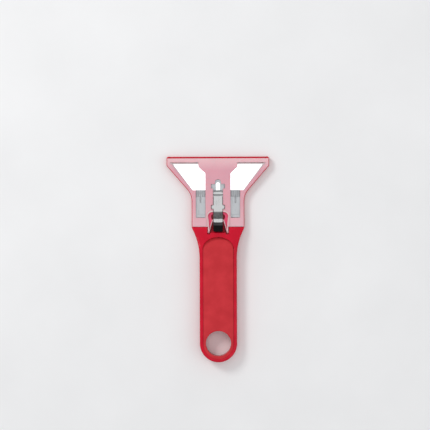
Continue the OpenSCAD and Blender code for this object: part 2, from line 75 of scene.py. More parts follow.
# Outline, repeated from the CAD; Y runs from the tail to the mouth
Y_MOUTH = BODY_HIGH.y
Y_TAIL = BODY_LOW.y
HEAD_W = BODY_HIGH.x * 2
NECK_W = 34.5
HANDLE_W = 24.4
Y_TAPER = Y_MOUTH - 6
Y_NECK = Y_TAPER - 18.9
Y_SHOULDER = Y_NECK - 21.75
FLARE_L = 10
Y_FLARE = Y_SHOULDER - FLARE_L
TAPER_R = 1.5
NECK_R = 11.5
CORNER_R = 1.2
SHOULDER_R = 5
# Leave a short straight piece between the arcs at the flare, and between those at the tail
FLARE_SLACK = 0.25
TAIL_SLACK = 0.02

# Hanging hole, crown across the handle and the rise from the head to it
Y_HOLE = Y_TAIL + HANDLE_W / 2
HOLE_R = 16.5 / 2
HANDLE_T = BODY_HIGH.z
CROWN_R = 45
RISE_L = 19
RISE_R = 24

# Layers of the head from the floor up
FLOOR_T = 2
PLATE_T = 0.8
BLADE_T = 0.6
SPRING_T = 0.5
COVER_T = 1.6
FLANGE_T = 1
Z_PLATE = PLATE_LOW.z
Z_BLADE = Z_PLATE + PLATE_T
Z_CLIP = Z_BLADE + BLADE_T
Z_COVER = Z_CLIP + SPRING_T + 0.2
Z_LID = Z_COVER + COVER_T
# Gap under the cover and its flange
SEAT_GAP = 0.05
Z_RIM = Z_LID - FLANGE_T - SEAT_GAP

# Side rims of the tray, the ledge inside them, their gap to the cover, and how much of them shows
RIM_T = 1
LEDGE_W = 0.8
RIM_GAP = 0.15
RIM_SHOW = 0.4

# Blade, carriage, cover and spring along Y
Y_EDGE = BLADE_HIGH.y
Y_BACK = BLADE_LOW.y
Y_BRIDGE = Y_BACK - 4.2
# Just behind the blade, where the carriage's pads end and the spring steps up over the blade
Y_STEP = Y_BACK - 0.15
Y_STOP = PLATE_LOW.y - 0.1
Y_COVER_FRONT = COVER_HIGH.y
Y_COVER_REAR = Y_STOP - 5.9
Y_SEAT = Y_COVER_REAR - 0.2
Y_HINGE = Y_COVER_REAR - 3.3
Y_LEG = Y_COVER_REAR + 4.6
Y_LEVER = LEVER_HIGH.y
Y_ROOT = Y_LEVER + 0.1
# Length over which the spring steps down to its foot, and up again
STEP_L = 0.6
Y_EAR = Y_LEVER - 6.9
Y_BEND = Y_LEVER - 10.4
Y_BEND_TOP = Y_BEND - 4.4
TRAVEL = 13.7

# Grip pads: half width, length of the arch, thickness and depth under the skin
PAD_HALF_W = 10.0
PAD_ARCH = 7.9
PAD_T = 1.5
PAD_SINK = 0.3
# The front pad fills its recess almost to the skin
PAD_SHOW = 0.12
PAD_GAP = 0.05


# Materials
def linear(red, green, blue):
    """An sRGB colour of 0 to 255 as the shader's linear values."""
    return tuple(
        c / 255 / 12.92 if c <= 10 else ((c / 255 + 0.055) / 1.055) ** 2.4
        for c in (red, green, blue)
    )


class Shader:
    """A short way to write the nodes of one material."""

    def __init__(self, name):
        self.name = name
        self.material = bpy.data.materials.new(name)
        self.material.use_nodes = True
        self.tree = self.material.node_tree
        self.principled = self.tree.nodes["Principled BSDF"]
        self.place = self.add("ShaderNodeTexCoord").outputs["Object"]

    def add(self, kind, inputs=None, **settings):
        node = self.tree.nodes.new(kind)
        for key, value in settings.items():
            setattr(node, key, value)
        self.feed(node, inputs or {})
        return node

    def feed(self, node, inputs):
        """Gives a node its inputs, each a value or another node's output."""
        for key, value in inputs.items():
            if isinstance(value, bpy.types.NodeSocket):
                self.tree.links.new(value, node.inputs[key])
            else:
                node.inputs[key].default_value = value

    def set(self, inputs):
        """Feeds the principled node; a colour may have three values."""
        for key, value in inputs.items():
            if isinstance(value, tuple) and len(value) == 3 and key.endswith("Color"):
                inputs[key] = (*value, 1)
        self.feed(self.principled, inputs)

    def noise(self, size, detail=4, rough=0.5, stretch=(1, 1, 1)):
        """Noise with features of that size in metres, longer along an axis with a small stretch."""
        place = self.add("ShaderNodeMapping", {"Vector": self.place, "Scale": stretch})
        inputs = {
            "Vector": place.outputs["Vector"],
            "Scale": 1 / size,
            "Detail": detail,
            "Roughness": rough,
        }
        return self.add("ShaderNodeTexNoise", inputs).outputs["Fac"]

    def colours(self, value, stops):
        """A colour ramp, from places and colours."""
        node = self.add("ShaderNodeValToRGB", {"Fac": value})
        points = node.color_ramp.elements
        for k, (place, colour) in enumerate(stops):
            point = points[k] if k < 2 else points.new(place)
            point.position = place
            point.color = (*colour, 1)
        return node.outputs["Color"]

    def between(self, value, low, high):
        """A value of 0 to 1 as one of low to high."""
        node = self.add("ShaderNodeMapRange", {"Value": value, "To Min": low, "To Max": high})
        return node.outputs["Result"]

    def share(self, value, low, high):
        """A value of low to high as one of 0 to 1."""
        node = self.add("ShaderNodeMapRange", {"Value": value, "From Min": low, "From Max": high})
        return node.outputs["Result"]

    def bump(self, height, distance, under=None):
        inputs = {"Height": height, "Distance": distance}
        if under is not None:
            inputs["Normal"] = under
        return self.add("ShaderNodeBump", inputs).outputs["Normal"]

    def waves(self):
        """The slow waviness of a moulded face."""
        return self.bump(self.noise(6 * MM, detail=1), 0.03 * MM)

    def smudged(self, low, high):
        """Roughness that changes over small smudges."""
        return self.between(self.noise(1.5 * MM), low, high)


def plastic(name, dark, light, roughness, grain, depth, gloss):
    """Moulded plastic: two close tones in soft clouds, a fine grain and a slow waviness."""
    s = Shader(name)
    clouds = s.noise(8 * MM, detail=3)
    s.set(
        {
            "Base Color": s.colours(clouds, [(0.35, dark), (0.65, light)]),
            "Roughness": s.smudged(roughness - 0.05, roughness + 0.05),
            "Specular IOR Level": gloss,
            "Normal": s.bump(s.noise(grain, detail=6, rough=0.6), depth, s.waves()),
        }
    )
    return s


def steel(name, dark, light, roughness, along, depth):
    """Rolled steel: fine lines that run along one axis, over soft clouds."""
    s = Shader(name)
    lines = s.noise(0.25 * MM, detail=5, stretch=along)
    clouds = s.noise(5 * MM, detail=4)
    mixed = s.add("ShaderNodeMath", {0: lines, 1: clouds}, operation="ADD").outputs[0]
    s.set(
        {
            "Base Color": s.colours(s.between(mixed, -0.3, 0.7), [(0.3, dark), (0.7, light)]),
            "Metallic": 1.0,
            "Roughness": s.between(clouds, roughness - 0.06, roughness + 0.08),
            "Normal": s.bump(lines, depth),
        }
    )
    return s


def cover_plastic():
    """Translucent pink plastic: paler along the mouth and the rear, with a painted highlight on the
    raised bead.
    """
    s = Shader("pink_cover")
    place = s.add("ShaderNodeSeparateXYZ", {0: s.place})
    along = s.share(place.outputs["Y"], Y_COVER_REAR * MM, Y_MOUTH * MM)
    tones = s.colours(
        along,
        [
            (0.0, linear(234, 183, 192)),
            (1.0, linear(242, 198, 203)),
            (0.16, linear(234, 181, 190)),
            (0.3, linear(231, 171, 182)),
            (0.8, linear(230, 167, 180)),
            (0.93, linear(240, 193, 199)),
        ],
    )
    # Above the lid the colour turns to a paler pink: a painted highlight on the bead's crest
    raised = s.share(place.outputs["Z"], (Z_LID + 0.05) * MM, (Z_LID + 0.3) * MM)
    bead = (*linear(240, 204, 206), 1)
    pale = s.add("ShaderNodeMix", {"A": tones, "B": bead}, data_type="RGBA")
    s.tree.links.new(raised, pale.inputs["Factor"])
    clouds = s.between(s.noise(9 * MM, detail=3), 0.94, 1.04)
    cloudy = s.add("ShaderNodeVectorMath", {0: pale.outputs["Result"]}, operation="SCALE")
    s.tree.links.new(clouds, cloudy.inputs["Scale"])
    s.set(
        {
            "Base Color": cloudy.outputs["Vector"],
            "Roughness": s.smudged(0.24, 0.34),
            "Specular IOR Level": 0.3,
            "Alpha": 0.92,
            "Subsurface Weight": 0.25,
            "Subsurface Radius": (1.0, 0.5, 0.5),
            "Subsurface Scale": 1.5 * MM,
            "Normal": s.bump(s.noise(0.5 * MM, detail=6, rough=0.6), 0.003 * MM, s.waves()),
        }
    )
    return s


# How the fine lines of a steel run
ALONG_X = (0.02, 1, 1)
ALONG_Y = (1, 0.03, 1)
NO_WAY = (1, 1, 1)
# Name, dark and light tone, roughness, size and depth of the grain, gloss
PLASTICS = (
    ("red_plastic", linear(196, 8, 40), linear(210, 14, 46), 0.24, 0.4 * MM, 0.003 * MM, 0.2),
    ("red_grip", linear(194, 42, 50), linear(206, 50, 58), 0.62, 0.18 * MM, 0.02 * MM, 0.2),
    ("black_plastic", linear(8, 6, 7), linear(16, 13, 14), 0.4, 0.2 * MM, 0.008 * MM, 0.12),
    # Grey plastic with painted light, for the button's front slope
    ("worn_plastic", linear(50, 48, 50), linear(66, 64, 66), 0.35, 0.2 * MM, 0.008 * MM, 0.3),
    # Greyish pink with painted shade, for the ledges round the cover's windows
    ("cover_ledge", linear(204, 186, 188), linear(214, 197, 199), 0.4, 0.5 * MM, 0.003 * MM, 0.3),
    ("thin_cover", linear(216, 56, 96), linear(234, 78, 116), 0.3, 0.5 * MM, 0.003 * MM, 0.3),
)
# Name, dark and light tone, roughness, way and depth of the lines
STEELS = (
    ("blade_steel", (0.9, 0.91, 0.92), (0.98, 0.98, 0.99), 0.16, ALONG_X, 0.001 * MM),
    ("ground_steel", (0.5, 0.48, 0.48), (0.66, 0.63, 0.63), 0.3, ALONG_Y, 0.004 * MM),
    ("sheet_steel", (0.26, 0.275, 0.29), (0.4, 0.415, 0.43), 0.34, ALONG_Y, 0.003 * MM),
    # Lighter sheet steel with painted light, against the shade that the cover and the blade cast on the
    # grooves and ribs
    ("dark_sheet", (0.32, 0.335, 0.35), (0.42, 0.435, 0.45), 0.4, ALONG_Y, 0.004 * MM),
    ("spring_steel", (0.33, 0.335, 0.335), (0.43, 0.435, 0.435), 0.28, ALONG_Y, 0.002 * MM),
    # Dark steel with painted shade, for the spring's steep slope up to the bend
    ("dark_spring", (0.07, 0.068, 0.07), (0.23, 0.225, 0.225), 0.3, ALONG_Y, 0.002 * MM),
    ("rivet_steel", (0.42, 0.43, 0.44), (0.55, 0.56, 0.57), 0.3, NO_WAY, 0.004 * MM),
)
shaders = [plastic(*row) for row in PLASTICS] + [steel(*row) for row in STEELS] + [cover_plastic()]
materials = {shader.name: shader.material for shader in shaders}


# Plan loops
def heading(a, b):
    """The direction from one point to another."""
    d = np.subtract(b[:2], a[:2])
    return d / np.hypot(*d)


def rounded(corners, step=4):
    """Points of a loop of corners (x, y, radius), counterclockwise; radius 0 is sharp."""
    points = []
    for k, corner in enumerate(corners):
        at, radius = np.array(corner[:2], float), corner[2]
        if radius == 0:
            points.append(tuple(at))
            continue
        u = heading(corner, corners[k - 1])
        v = heading(corner, corners[(k + 1) % len(corners)])
        half = math.acos(u @ v) / 2
        centre = at + (u + v) / np.hypot(*(u + v)) * radius / math.sin(half)
        x, y = at + u * radius / math.tan(half) - centre
        left = v[0] * u[1] - v[1] * u[0] > 0
        whole = (math.pi - 2 * half) * (1 if left else -1)
        steps = max(2, math.ceil(abs(math.degrees(whole)) / step))
        for g in np.linspace(0, whole, steps + 1):
            turned = (x * math.cos(g) - y * math.sin(g), x * math.sin(g) + y * math.cos(g))
            points.append(tuple(centre + turned))
    return points


def across(half_w, y_low, y_high, low_r=0.0, high_r=0.0):
    """Corners of a rectangle across the middle, with the radii at its two ends."""
    low = [(-half_w, y_low, low_r), (half_w, y_low, low_r)]
    return low + [(half_w, y_high, high_r), (-half_w, y_high, high_r)]


def mirrored(corners):
    """A half of a loop, completed by its mirror image."""
    return corners + [(-x, y, r) for x, y, r in reversed(corners)]


def both_sides(corners):
    """The rounded loop of the corners, and its mirror image."""
    return [rounded(corners), rounded([(-x, y, r) for x, y, r in reversed(corners)])]


def moved_in(corners, d):
    """Corners of the same loop, inset by d."""
    made = []
    for k, corner in enumerate(corners):
        e1 = heading(corners[k - 1], corner)
        e2 = heading(corner, corners[(k + 1) % len(corners)])
        n1, n2 = np.array((-e1[1], e1[0])), np.array((-e2[1], e2[0]))
        x, y = np.array(corner[:2]) + d * (n1 + n2) / (1 + n1 @ n2)
        left = e1[0] * e2[1] - e1[1] * e2[0] > 0
        made.append((x, y, max(corner[2] + (-d if left else d), 0)))
    return made


# Keeps a point at a sharp corner from moving too far
LEAST_BEND = 0.3


def offset(loop, d):
    """A loop of points moved to its left by d."""
    p = np.array(loop)
    e = np.roll(p, -1, 0) - p
    e /= np.hypot(e[:, 0], e[:, 1])[:, None]
    n = np.stack((-e[:, 1], e[:, 0]), 1)
    before = np.roll(n, 1, 0)
    return p + d * (n + before) / np.maximum(1 + (n * before).sum(1), LEAST_BEND)[:, None]


def above(loop, y_low):
    """The part of a loop above y_low."""
    kept = []
    for a, b in zip(loop, loop[1:] + loop[:1]):
        if a[1] >= y_low:
            kept.append(a)
        if (a[1] >= y_low) != (b[1] >= y_low):
            t = (y_low - a[1]) / (b[1] - a[1])
            kept.append((a[0] + t * (b[0] - a[0]), y_low))
    return kept


def between_rows(loop, y_low, y_high):
    """The part of a loop between two places along Y."""
    turned = [(-x, -y) for x, y in above(loop, y_low)]
    return [(-x, -y) for x, y in above(turned, -y_high)]


def rectangle(x0, x1, y0, y1):
    return [(x0, y0), (x1, y0), (x1, y1), (x0, y1)]


def circle(x, y, radius, count=72):
    turns = [2 * math.pi * k / count for k in range(count)]
    return [(x + radius * math.cos(a), y + radius * math.sin(a)) for a in turns]


def fine(loop, step):
    """The same loop with more points, none further apart than step."""
    made = []
    for (x0, y0), (x1, y1) in zip(loop, loop[1:] + loop[:1]):
        parts = math.ceil(math.dist((x0, y0), (x1, y1)) / step)
        made += [(x0 + (x1 - x0) * k / parts, y0 + (y1 - y0) * k / parts) for k in range(parts)]
    return made


def points_of(ys, xs):
    """The points of a grid."""
    return [(x, y) for y in ys for x in xs]


def inside(points, loop):
    """Which of the points lie in the loop."""
    x, y = points[:, :1], points[:, 1:2]
    a = np.array(loop)
    b = np.roll(a, -1, 0)
    crosses = (a[:, 1] > y) != (b[:, 1] > y)
    with np.errstate(divide="ignore", invalid="ignore"):
        at = a[:, 0] + (b[:, 0] - a[:, 0]) * (y - a[:, 1]) / (b[:, 1] - a[:, 1])
    return (crosses & (x < at)).sum(1) % 2 == 1


# Meshes
# Turn from which two faces meet in an edge, and are not one curved face
EDGE = math.radians(40)
# Shares of an edge's radius at which the rounding has a row of points
ROWS = (0.134, 0.5, 1.0)
# Points closer than this are one point
MERGE = 1e-4
# A step lower than this is none
LEAST_STEP = 1e-3
# Largest share of a step's height that its rounding takes
MOST_OF_STEP = 0.8
# A point this much further than the radius from a step's top isn't on the face that is rounded
OTHER_FACE = 0.3
# Points whose distances are found at one time
PART = 500
# Marks of faces that aren't part of a piece
OUTSIDE, HOLE = -1, -2


def height_at(height, points):
    """Heights at the points, from a number or a function of x and y."""
    if callable(height):
        return height(points[:, 0], points[:, 1])
    return np.full(len(points), float(height))


def distances(points, starts, ends):
    """Distance of each point to each segment."""
    d = ends - starts
    t = ((points[:, None] - starts) * d).sum(2) / (d * d).sum(1)
    near = starts + np.clip(t, 0, 1)[..., None] * d
    return np.linalg.norm(points[:, None] - near, axis=2)


class Side:
    """The upper side of a piece: regions painted over each other.

    Each region is a loop and its height, or None for a hole; a third value gives its material.
    Every edge where a region steps down is rounded. soft is the radius inside the piece, and rim
    that of its outer edges, as a number or a function of y."""

    def __init__(self, regions, floor, soft, rim, grid=(), border=None):
        self.regions, self.floor = [r[:2] for r in regions], floor
        self.tones = [r[2] if len(r) > 2 else 0 for r in regions]
        self.soft, self.rim = soft, rim if callable(rim) else lambda y: rim
        self.triangulate(grid, border)
        self.paint()
        self.find_steps()

    def triangulate(self, grid, border):
        """Triangles that follow every loop and the rows of its roundings."""
        points, edges = [], []

        def add_loop(loop):
            first, count = len(points), len(loop)
            points.extend(loop)
            edges.extend((first + k, first + (k + 1) % count) for k in range(count))

        for loop, height in self.regions:
            add_loop(loop)
            reach = max(self.rim(y) for x, y in loop)
            for radius in {self.soft, reach}:
                for row in ROWS:
                    for way in (1, -1):
                        add_loop([tuple(p) for p in offset(loop, way * radius * row)])
        points.extend(grid)
        if border:
            first = len(points)
            points.extend(border[0])
            edges.extend((first + a, first + b) for a, b in border[1])
        made = delaunay_2d_cdt([Vector(p) for p in points], edges, [], 0, MERGE)
        self.points = np.array([tuple(p) for p in made[0]])
        self.faces = np.array(made[2])

    def paint(self):
        """Finds each face's region; a later region covers an earlier one."""
        centres = self.points[self.faces].mean(1)
        self.region = np.full(len(self.faces), OUTSIDE)
        for k, (loop, height) in enumerate(self.regions):
            self.region[inside(centres, loop)] = HOLE if height is None else k

    def find_steps(self):
        """Edges between faces at different heights: (point a, point b, high region, low region)."""
        sides = {}
        for face, region in zip(self.faces, self.region):
            for k in range(3):
                a, b = face[k], face[(k + 1) % 3]
                sides.setdefault((min(a, b), max(a, b)), []).append(region)
        edges = [(a, b, *(r + [OUTSIDE])[:2]) for (a, b), r in sides.items()]
        edges = [e for e in edges if e[2] != e[3]]
        self.steps, highs, radii = [], [], []
        for a, b, r1, r2 in edges:
            middle = self.points[[a, b]].mean(0, keepdims=True)
            z1, z2 = (self.height_of(r, middle) for r in (r1, r2))
            if abs(z1 - z2) < LEAST_STEP:
                continue
            high, low = (r1, r2) if z1 > z2 else (r2, r1)
            wide = self.rim(middle[0, 1]) if low == OUTSIDE else self.soft
            self.steps.append((a, b, high, low))
            highs.append(max(z1, z2))
            radii.append(min(wide, MOST_OF_STEP * abs(z1 - z2)))
        self.highs, self.radii = np.array(highs), np.array(radii)

    def height_of(self, region, point):
        """Height of a region at one point; outside and in holes it is the floor."""
        return self.floor if region < 0 else height_at(self.regions[region][1], point)[0]

    def heights(self, pairs):
        """Height of each (point, region), edges rounded."""
        starts, ends = (self.points[[s[k] for s in self.steps]] for k in (0, 1))
        made = {}
        for region in {r for p, r in pairs}:
            ids = [p for p, r in pairs if r == region]
            at = self.points[ids]
            z = height_at(self.regions[region][1], at)
            drop = np.zeros(len(ids))
            for part in range(0, len(ids), PART):
                some = slice(part, part + PART)
                gap = np.minimum(distances(at[some], starts, ends) / self.radii, 1)
                fall = self.radii * (1 - np.sqrt(1 - (1 - gap) ** 2))
                fall[np.abs(self.highs - z[some, None]) > self.radii + OTHER_FACE] = 0
                drop[some] = fall.max(1)
            made.update({(p, region): value for p, value in zip(ids, z - drop)})
        return made

    def border(self):
        """Points and edges of the outer edge and the holes, for the other side."""
        edges = [(a, b) for a, b, high, low in self.steps if low < 0]
        used = sorted({k for e in edges for k in e})
        place = {k: n for n, k in enumerate(used)}
        return [tuple(self.points[k]) for k in used], [(place[a], place[b]) for a, b in edges]

    def add_to(self, bm, way=1):
        """Adds the faces, with the side turned down where way is -1."""
        pairs = {(p, r) for f, r in zip(self.faces, self.region) if r >= 0 for p in f}
        z = self.heights(pairs)
        verts = {}

        def vert(p, region):
            height = self.floor if region < 0 else z.get((p, region), self.floor)
            key = (p, round(height, 4))
            if key not in verts:
                x, y = self.points[p]
                verts[key] = bm.verts.new((x * MM, y * MM, way * height * MM))
            return verts[key]

        def face(corners, tone):
            corners = list(dict.fromkeys(corners))
            if len(corners) > 2 and not bm.faces.get(corners):
                bm.faces.new(corners).material_index = tone

        for f, region in zip(self.faces, self.region):
            if region >= 0:
                face([vert(p, region) for p in f], self.tones[region])
        for a, b, high, low in self.steps:
            face([vert(a, high), vert(b, high), vert(b, low), vert(a, low)], self.tones[high])


def turned_down(height):
    """A height as the other side has it."""
    if height is None:
        return None
    if callable(height):
        return lambda x, y: -height(x, y)
    return -height


def solid(top, bottom, floor, soft, rim, under_rim=None, grid=()):
    """A solid from its two sides, which meet at the height floor. bottom has heights as they are."""
    bm = bmesh.new()
    upper = Side(top, floor, soft, rim, grid)
    upper.add_to(bm)
    under = [(loop, turned_down(height), *tone) for loop, height, *tone in bottom]
    under_rim = rim if under_rim is None else under_rim
    Side(under, -floor, soft, under_rim, grid, upper.border()).add_to(bm, -1)
    bmesh.ops.remove_doubles(bm, verts=bm.verts, dist=MERGE * MM)
    bmesh.ops.recalc_face_normals(bm, faces=bm.faces)
    return bm


def shown(name, bm, slots, body, *replaced):
    """The mesh as a piece that rides on a body and stands for CAD nodes; slots names its materials."""
    mesh = bpy.data.meshes.new(name)
    for face in bm.faces:
        face.smooth = True
    for edge in bm.edges:
        edge.smooth = len(edge.link_faces) == 2 and edge.calc_face_angle() < EDGE
    bm.to_mesh(mesh)
    bm.free()
    slots = slots.split()
    for slot in slots:
        mesh.materials.append(materials[slot])
    made = bpy.data.objects.new(name, mesh)
    bpy.context.scene.collection.objects.link(made)
    weighted = made.modifiers.new("even_faces", "WEIGHTED_NORMAL")
    weighted.keep_sharp = True
    if replaced:
        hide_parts(*replaced)
    if body:
        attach(made, body)
    return made


# Handle
FLARE = np.array(((NECK_W - HANDLE_W) / 2, FLARE_L))
FLARE_R = (np.hypot(*FLARE) - FLARE_SLACK) / math.tan(math.atan2(*FLARE) / 2) - SHOULDER_R


def outline(ahead=0.0):
    """Corners of the whole scraper, with the mouth moved ahead."""
    return mirrored(
        [
            (HANDLE_W / 2, Y_TAIL, HANDLE_W / 2 - TAIL_SLACK),
            (HANDLE_W / 2, Y_FLARE, FLARE_R),
            (NECK_W / 2, Y_SHOULDER, SHOULDER_R),
            (NECK_W / 2, Y_NECK, NECK_R),
            (HEAD_W / 2, Y_TAPER, TAPER_R),
            (HEAD_W / 2, Y_MOUTH + ahead, CORNER_R),
        ]
    )


def line_height(points):
    """The height of a line of (y, z) points as a function of y."""
    ys, zs = zip(*points)
    return lambda y: np.interp(y, ys, zs)


# Beyond every end of the scraper
FAR = 50
RISE = rounded(
    [
        (Y_TAIL - FAR, 0, 0),
        (Y_MOUTH + FAR, 0, 0),
        (Y_MOUTH + FAR, Z_LID, 0),
        (Y_SEAT, Z_LID, RISE_R / 4),
        (Y_SEAT - RISE_L, HANDLE_T, RISE_R),
        (Y_TAIL - FAR, HANDLE_T, 0),
    ]
)
ridge = line_height(sorted(p for p in RISE if p[1] > 1))


def skin(x, y, drop=0.0):
    """Height of the front face: the crown across the handle, under the ridge line along it."""
    crown = HANDLE_T - CROWN_R + np.sqrt(np.maximum((CROWN_R - drop) ** 2 - np.square(x), 1))
    return np.where(y < Y_SHOULDER, np.minimum(ridge(y) - drop, crown), ridge(y) - drop)


def pad_floor(x, y):
    """Height of the recess under the front pad."""
    return skin(x, y, PAD_SINK + PAD_T)


def pad_loop(grow=0.0):
    """The pad's outline: an arch at the head's end and a half circle round the hanging hole."""
    a, b, y_arch = PAD_HALF_W + grow, PAD_ARCH + grow, PAD_HIGH.y - PAD_ARCH
    turns = np.radians(np.arange(0, 181, 4))
    arch = [(a * math.cos(g), y_arch + b * math.sin(g)) for g in turns]
    return arch + [(-a * math.cos(g), Y_HOLE - a * math.sin(g)) for g in turns]


# Recess under the button: its half width, and the length and height of the ramp in it
RECESS_X = 5.4
RAMP_L = 5.5
RAMP_H = 1.5
# Distance of the points along the edges of the handle and the pads
CLOSE = 1.2


def ramp(x, y):
    return FLOOR_T + RAMP_H * (BUTTON_LOW.y + RAMP_L - y) / RAMP_L


def handle_rim(y):
    """Radius of the outer edges: round along the handle, sharper along the head."""
    return float(np.interp(y, (Y_FLARE, Y_SHOULDER), (1.2, 0.35)))


def under_rim(y):
    return 0.6 * handle_rim(y) + 0.2


def pocket(x_in, x_out, y_low, y_high, height):
    """The same rectangle on both sides of the middle, at one height."""
    right = rectangle(x_in, x_out, y_low, y_high)
    left = rectangle(-x_out, -x_in, y_low, y_high)
    return [(right, height), (left, height)]


def make_handle():
    """The red moulding: handle, tray, recess under the button, hinge pockets and beds of the pads."""
    past_mouth = outline(10)
    seat = between_rows(rounded(moved_in(past_mouth, RIM_T)), Y_SEAT, Y_MOUTH)
    tray = between_rows(rounded(moved_in(past_mouth, RIM_T + LEDGE_W)), Y_STOP, Y_MOUTH)
    hole = circle(0, Y_HOLE, HOLE_R)
    whole = fine(rounded(outline()), CLOSE)
    bed = pad_loop(PAD_GAP)
    y_wall = BUTTON_LOW.y - 0.6
    y_reach = Y_STOP + 1
    y_ramp = BUTTON_LOW.y + RAMP_L
    ramp_foot_x = 5.1
    ramp_top_x = 3
    # The pockets at the hinge are deep along the legs, and shallow behind their eyes
    pocket_x = 7
    z_shallow = Z_COVER + 0.3
    z_pit = FLOOR_T - 1.2
    foot = [(-ramp_foot_x, y_wall), (ramp_foot_x, y_wall)]
    top = [
        (whole, skin),
        (above(whole, Y_SEAT), Z_RIM),
        (seat, Z_COVER - SEAT_GAP),
        (tray, FLOOR_T),
        (rectangle(-RECESS_X, RECESS_X, y_wall, y_reach), FLOOR_T),
        ([*foot, (ramp_top_x, y_ramp), (-ramp_top_x, y_ramp)], ramp),
        *pocket(5, pocket_x, Y_HINGE - 1.6, y_wall + 0.05, z_shallow),
        *pocket(5.3, pocket_x, Y_HINGE - 1.1, y_reach, FLOOR_T),
        (rectangle(-RECESS_X, RECESS_X, Y_BEND_TOP, y_reach), z_pit),
        (fine(bed, CLOSE), pad_floor),
        (hole, None),
    ]
    bottom = [(whole, 0), (bed, PAD_SINK + PAD_T), (hole, None)]
    grid = points_of(np.arange(Y_TAIL + 1, Y_SHOULDER + 1, 1.9), np.arange(-16, 17, 2))
    return solid(top, bottom, FLOOR_T / 2, soft=0.15, rim=handle_rim, under_rim=under_rim, grid=grid)


def make_back_grip():
    hole = (circle(0, Y_HOLE, HOLE_R), None)
    top = [(pad_loop(), PAD_SINK + PAD_T), hole]
    bottom = [(pad_loop(), PAD_SINK), hole]
    return solid(top, bottom, PAD_SINK + PAD_T / 2, soft=0.3, rim=0.1, under_rim=0.5)


def make_front_grip():
    hole = (circle(0, Y_HOLE, HOLE_R), None)
    pad = fine(pad_loop(), CLOSE)
    top = [(pad, lambda x, y: skin(x, y, PAD_SHOW)), hole]
    bottom = [(pad, pad_floor), hole]
    # Height at which the two sides of the pad meet
    z_edge = HANDLE_T - PAD_SINK - 0.8
    grid = points_of(np.arange(Y_TAIL + 3, PAD_HIGH.y, 2), np.arange(-9, 10, 2))
    return solid(top, bottom, z_edge, soft=0.3, rim=0.08, under_rim=0.1, grid=grid)


# Cover
# Pins and legs of the hinge
PIN_X = 5.7
LEG_X = 6.7
PIN_END_X = 8.2
PIN_SIDES = 30
PIN_CHAMFER = 0.15
# Length of the opening round the button, from the cover's rear edge
THUMB_L = 9.7


def window(side, back, front):
    """A window of the cover; back and front place the ends of its slanted side."""
    rail_w = 1.6
    front_bar_w = 2.65
    x_rail = NECK_W / 2 - RIM_T - RIM_GAP - rail_w
    x_strip = 8.2
    x_corner = 12.8
    y_front = Y_COVER_FRONT - front_bar_w
    rear_r = 0.5
    brace_r = 1.5
    corners = [
        (x_rail, Y_STOP, rear_r),
        (x_rail, Y_BACK, 0),
        (NECK_W / 2 - back, Y_BACK, 0),
        (HEAD_W / 2 - front, y_front, 0),
        (x_corner, y_front, 0),
        (x_corner, y_front - 2.8, brace_r),
        (x_strip, y_front - 7, brace_r),
        (x_strip, Y_STOP, rear_r),
    ]
    loop = rounded(corners)
    return loop if side > 0 else [(-x, y) for x, y in reversed(loop)]


def lock_slot():
    """The slot along the strip, with its two pairs of lock notches and its round end."""
    slot_x = 3.3
    notch_x = 4.6
    half_l = 1.45
    tip_x = 2
    tip_l = 3.05
    y_front_ear = Y_EAR + TRAVEL
    y_end = y_front_ear + half_l
    return [
        rectangle(-slot_x, slot_x, Y_COVER_REAR - 1, y_end),
        rectangle(-notch_x, notch_x, y_front_ear - half_l, y_end),
        rectangle(-notch_x, notch_x, Y_EAR - half_l, Y_EAR + half_l),
        rounded(across(tip_x, y_end - 1, y_end + tip_l, high_r=tip_x - 0.01)),
    ]


def make_cover():
    """The cover: a plate with a thin flange over the rims, windows, slot, bead, legs, ribs and pins."""
    z_ledge = Z_LID - 0.4
    z_bead = Z_LID + 0.5
    z_leg = Z_LID + 0.2
    bead_w = 0.9
    thumb = across(LEG_X, Y_HINGE - 1, Y_COVER_REAR + THUMB_L, high_r=3)
    plate, edge = (
        between_rows(rounded(moved_in(outline(), d)), Y_COVER_REAR, Y_COVER_FRONT)
        for d in (RIM_T + RIM_GAP, RIM_SHOW)
    )
    # The ledges round the windows take the second, greyish material: painted shade of the gap beside
    # the blade
    ledges = [(window(side, back=0.25, front=2.2), z_ledge, 1) for side in (1, -1)]
    windows = [window(side, back=0.45, front=3.3) for side in (1, -1)]
    holes = [(loop, None) for loop in (*windows, *lock_slot(), rounded(thumb))]
    legs = both_sides(
        [
            (PIN_X, Y_HINGE, 0),
            (LEG_X, Y_HINGE, 0),
            (LEG_X, Y_COVER_REAR, 0),
            (LEG_X + 0.5, Y_COVER_REAR, 0),
            (LEG_X + 0.5, Y_LEG, 0),
            (6.75, Y_LEG + 3, 0),
            (6.6, Y_LEG + 2.8, 0),
            (6.05, Y_LEG - 2, 3),
        ]
    )
    ribs = both_sides([(PIN_X, Y_HINGE, 0), (6.2, Y_HINGE, 0), (3.9, Y_LEG, 0), (3.3, Y_LEG, 0)])
    bead = above(rounded(moved_in(thumb, -bead_w)), Y_COVER_REAR)
    top = [(edge, Z_LID), *ledges, (bead, z_bead), *holes]
    top += [(leg, z_leg) for leg in legs + ribs]
    bottom = [(edge, Z_LID - FLANGE_T), (plate, Z_COVER), *holes]
    bottom += [(leg, Z_COVER) for leg in legs + ribs]
    bm = solid(top, bottom, Z_LID - FLANGE_T / 2, soft=0.2, rim=0.3)
    for side in (1, -1):
        add_pin(bm, side * PIN_X, side * LEG_X, radius=1)
        add_pin(bm, side * LEG_X, side * PIN_END_X, radius=0.7)
    return bm


